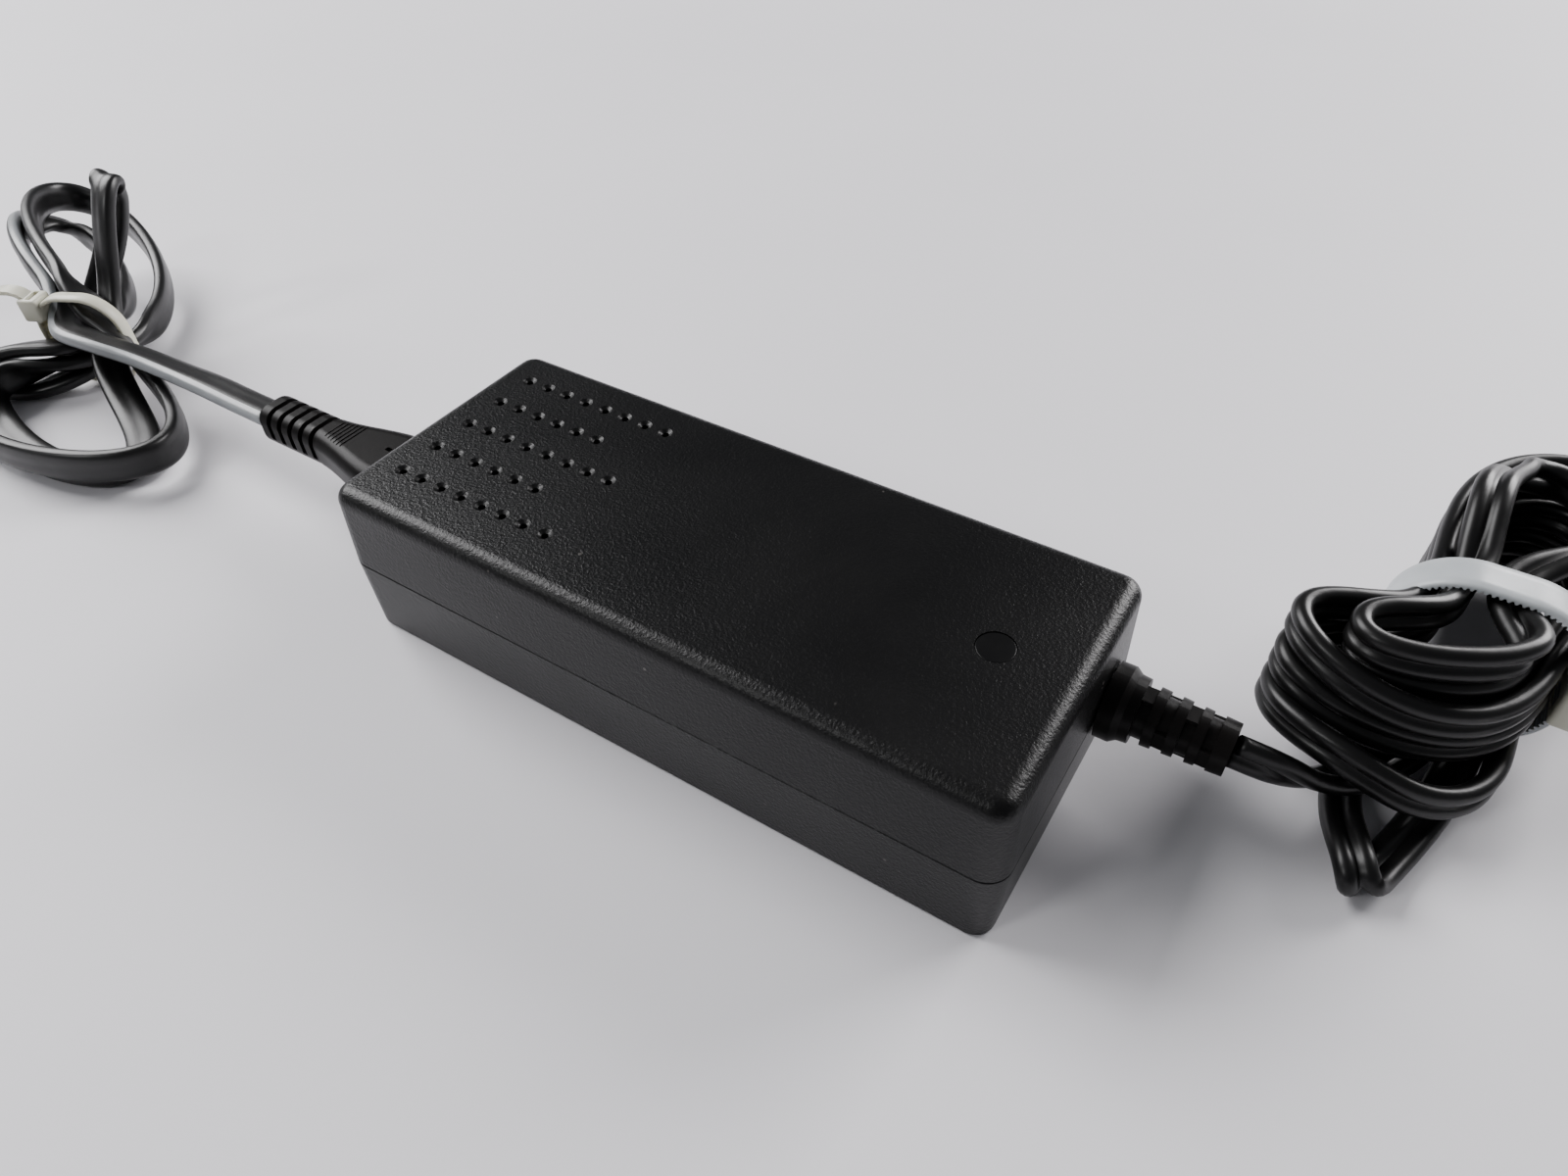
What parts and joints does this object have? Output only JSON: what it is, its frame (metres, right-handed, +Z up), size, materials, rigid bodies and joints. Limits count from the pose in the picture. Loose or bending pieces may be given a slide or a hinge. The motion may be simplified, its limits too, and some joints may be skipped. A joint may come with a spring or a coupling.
{
  "type": "laptop power adapter",
  "caption": "Rectangular switching power adapter case with vent holes, a pull-out two-pole mains lead at one end and a tied low-voltage lead with a barrel plug at the other.",
  "frame": {"origin": "centre of the case's footprint, on the surface it stands on", "axes": "+X along the case from the mains inlet to the low-voltage lead, +Y across the case, +Z up, out of the vented face"},
  "size_m": [0.4385, 0.1491, 0.0465],
  "materials": {
    "case_black": "fine-grained moulded black plastic",
    "cord_black": "smooth black cord jacket with one pale stripe",
    "connector_black": "matte black moulded strain relief",
    "tie_natural": "translucent natural nylon",
    "window_smoked": "smoked translucent plastic",
    "label": "blank silver label film",
    "board": "green solder mask over glass fibre",
    "sheet": "insulating film",
    "inlet_black": "black moulded inlet housing",
    "nickel": "nickel-plated metal",
    "brass": "brass contact",
    "heatsink": "bare aluminium",
    "steel": "zinc-plated steel",
    "ferrite": "sintered ferrite",
    "copper": "enamelled copper winding",
    "film_yellow": "yellow box",
    "disc_blue": "blue coated disc",
    "disc_green": "dark green coated disc",
    "sleeve_black": "printed shrink sleeve, left blank",
    "epoxy": "moulded epoxy package",
    "led_green": "green diffused lens",
    "white_plastic": "white moulded plastic"
  },
  "bodies": {
    "adapter": {"top_shell": "case_black", "bottom_shell": "case_black", "rating_label": "label", "led_window": "window_smoked", "insulating_sheet": "sheet", "main_pcb": "board", "ac_inlet": "inlet_black", "ac_inlet_pins": "nickel", "mains_fuse": "sleeve_black", "inrush_thermistor": "disc_green", "x_capacitor": "film_yellow", "choke_core": "ferrite", "choke_windings": "copper", "bridge_rectifier": "epoxy", "bulk_capacitor": "sleeve_black", "primary_heatsink": "heatsink", "mosfet": "epoxy", "transformer_core": "ferrite", "transformer_bobbin": "epoxy", "transformer_winding": "film_yellow", "y_capacitors": "disc_blue", "secondary_heatsink": "heatsink", "output_rectifier": "epoxy", "heatsink_screws": "steel", "output_capacitors": "sleeve_black", "output_choke": "ferrite", "pwm_controller": "epoxy", "optocoupler": "white_plastic", "power_led": "led_green", "dc_strain_relief": "connector_black", "dc_cord": "cord_black", "dc_cord_bundle": "cord_black", "dc_cable_tie": "tie_natural", "dc_cord_tail": "cord_black", "dc_plug_overmould": "connector_black", "dc_plug_barrel": "nickel", "dc_plug_insulator": "epoxy", "dc_plug_centre_contact": "brass"},
    "mains_lead": {"mains_connector": "connector_black", "mains_connector_contacts": "brass", "mains_cord": "cord_black", "mains_cord_bundle": "cord_black", "mains_cable_tie": "tie_natural", "mains_cord_tail": "cord_black", "mains_plug_overmould": "connector_black", "mains_plug_blades": "nickel"}
  },
  "joints": [
    {"name": "mains_connector_pull", "type": "slide", "parent": "adapter", "child": "mains_lead", "axis": [-1, 0, 0], "range_m": [0, 0.014]}
  ]
}
